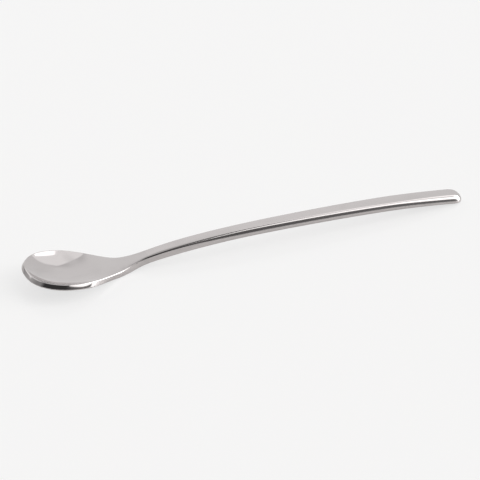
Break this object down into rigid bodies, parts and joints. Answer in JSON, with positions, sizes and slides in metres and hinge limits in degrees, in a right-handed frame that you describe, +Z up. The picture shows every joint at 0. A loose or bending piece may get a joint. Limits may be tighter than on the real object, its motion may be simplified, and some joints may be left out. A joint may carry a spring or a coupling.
{
  "type": "condiment spoon",
  "caption": "Long-handled polished steel condiment spoon: shallow oval bowl, dipped neck and a gently arched flat bar handle with softened edges, for serving sauce or relish.",
  "frame": {"origin": "on the table plane, under the middle of the spoon's bounding box", "axes": "+X runs along the spoon from the bowl's tip to the handle's end, +Y runs across it, and +Z points up from the table it lies on"},
  "size_m": [0.184, 0.0296, 0.0079],
  "materials": {
    "bowl_steel": "polished stainless steel with very fine polishing lines",
    "handle_steel": "polished stainless steel with very fine polishing lines along the handle"
  },
  "bodies": {
    "root": {"bowl": "bowl_steel", "handle": "handle_steel"}
  },
  "joints": []
}
